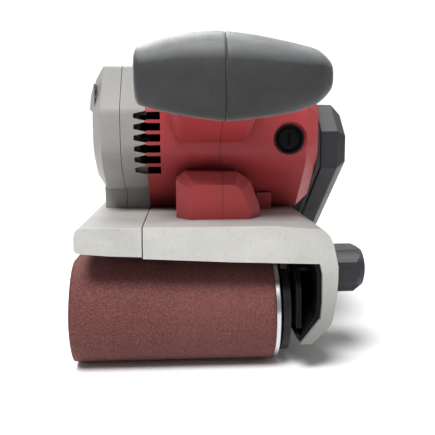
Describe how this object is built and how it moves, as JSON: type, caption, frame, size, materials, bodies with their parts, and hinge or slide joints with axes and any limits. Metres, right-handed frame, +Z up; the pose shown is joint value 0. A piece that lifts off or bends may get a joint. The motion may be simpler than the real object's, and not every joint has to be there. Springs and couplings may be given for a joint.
{
  "type": "handheld belt sander",
  "caption": "Handheld belt sander: abrasive belt on its rollers under a grey cast hood, transverse red motor housing, rubber barrel grip in front, closed rear handle with trigger.",
  "frame": {"origin": "middle of the flat sanding face, where the belt runs under the platen", "axes": "+Z up from the work, -Y to the front grip and idler roller, +X to the drive belt case and tracking knob"},
  "size_m": [0.1561, 0.3187, 0.1664],
  "materials": {
    "cast_paint": "satin, fine cast texture",
    "fan_plastic": "fine spark texture",
    "red_plastic": "fine spark texture",
    "grip_rubber": "matt, moulded",
    "dark_plastic": "satin",
    "black_plastic": "satin",
    "steel": "turned",
    "black_steel": "semi-gloss black",
    "alloy": "turned",
    "abrasive": "coated abrasive, coarse grit",
    "black_rubber": "ground rubber",
    "laminations": "stacked steel sheets",
    "copper": "enamelled wire",
    "carbon": "pressed carbon",
    "pad_cork": "cork sheet"
  },
  "bodies": {
    "root": {"brush_cap_front": "black_plastic", "brush_cap_rear": "black_plastic", "brush_holders": "black_plastic", "brush_springs": "steel", "carbon_brushes": "carbon", "cord_gland": "black_rubber", "cover_screws": "steel", "deck_screws": "steel", "drive_bearings": "steel", "drive_belt": "black_rubber", "drive_cover": "dark_plastic", "dust_spout": "black_plastic", "fan_cover": "fan_plastic", "fan_cover_screws": "steel", "fan_housing": "fan_plastic", "front_grip_left": "grip_rubber", "front_grip_right": "grip_rubber", "hood_side_piece": "cast_paint", "main_frame": "cast_paint", "motor_bearing_left": "steel", "motor_bearing_right": "steel", "motor_shell_left": "red_plastic", "motor_shell_right": "red_plastic", "platen_pad": "pad_cork", "platen_plate": "steel", "platen_screws": "steel", "rear_grip_left": "grip_rubber", "rear_grip_right": "grip_rubber", "sanding_belt": "abrasive", "shell_screws": "steel", "side_lining": "black_plastic", "stator_coils": "copper", "stator_core": "laminations", "switch_body": "black_plastic", "tension_spring": "steel"},
    "yoke_carrier_body": {"yoke_carrier": "steel", "yoke_pivot_pin": "steel"},
    "idler_yoke_body": {"idler_yoke": "black_steel", "idler_axle": "steel"},
    "idler_roller_body": {"idler_roller": "alloy", "idler_end_ring": "alloy", "idler_bearings": "steel"},
    "tension_lever_body": {"tension_lever": "dark_plastic", "lever_crank": "steel"},
    "tracking_knob_body": {"tracking_knob": "dark_plastic", "tracking_spindle": "steel"},
    "tracking_screw_body": {"tracking_screw": "steel"},
    "drive_roller_body": {"drive_shaft": "steel", "drive_roller": "alloy", "roller_lagging": "black_rubber", "roller_pulley": "alloy"},
    "armature_body": {"armature_shaft": "steel", "armature_core": "laminations", "armature_windings": "copper", "commutator": "copper", "cooling_fan": "black_plastic", "dust_impeller": "black_plastic", "motor_pulley": "steel"},
    "trigger_body": {"trigger": "black_plastic"},
    "lock_button_body": {"lock_button": "black_plastic"}
  },
  "joints": [
    {"name": "drive_roller_spin", "type": "hinge", "parent": "root", "child": "drive_roller_body", "pos_m": [0, 0.111, 0.027], "axis": [1, 0, 0], "continuous": true},
    {"name": "armature_spin", "type": "hinge", "parent": "root", "child": "armature_body", "pos_m": [0, -0.051, 0.1145], "axis": [1, 0, 0], "continuous": true},
    {"name": "tension_lever_swing", "type": "hinge", "parent": "root", "child": "tension_lever_body", "pos_m": [-0.05, -0.044, 0.027], "axis": [-1, 0, 0], "range_deg": [0, 90]},
    {"name": "yoke_carrier_slide", "type": "slide", "parent": "root", "child": "yoke_carrier_body", "axis": [0, 1, 0], "range_m": [0, 0.008], "deforming": ["sanding_belt", "tension_spring"]},
    {"name": "idler_yoke_tilt", "type": "hinge", "parent": "yoke_carrier_body", "child": "idler_yoke_body", "pos_m": [0, -0.075, 0.027], "axis": [0, 0, 1], "range_deg": [-1.7, 1.7], "deforming": ["sanding_belt"]},
    {"name": "idler_roller_spin", "type": "hinge", "parent": "idler_yoke_body", "child": "idler_roller_body", "pos_m": [0, -0.111, 0.027], "axis": [1, 0, 0], "continuous": true},
    {"name": "tracking_knob_turn", "type": "hinge", "parent": "root", "child": "tracking_knob_body", "pos_m": [0.09, -0.111, 0.0474], "axis": [1, 0, 0], "range_deg": [-360, 360]},
    {"name": "tracking_screw_slide", "type": "slide", "parent": "root", "child": "tracking_screw_body", "axis": [1, 0, 0], "range_m": [-0.001, 0.001]},
    {"name": "trigger_press", "type": "slide", "parent": "root", "child": "trigger_body", "axis": [0, 0, 1], "range_m": [0, 0.005], "stiffness_N_per_m": 700, "springref_m": -0.002},
    {"name": "lock_button_press", "type": "slide", "parent": "root", "child": "lock_button_body", "axis": [1, 0, 0], "range_m": [0, 0.003], "stiffness_N_per_m": 500, "springref_m": -0.001}
  ],
  "couplings": [
    {"joint": "armature_spin", "follows": "drive_roller_spin", "ratio": 3},
    {"joint": "idler_roller_spin", "follows": "drive_roller_spin", "ratio": 1},
    {"joint": "tension_lever_swing", "follows": "yoke_carrier_slide", "rad_per_m": 196.35},
    {"joint": "tracking_knob_turn", "follows": "tracking_screw_slide", "rad_per_m": -6283.2},
    {"joint": "idler_yoke_tilt", "follows": "tracking_screw_slide", "rad_per_m": 27.778}
  ]
}
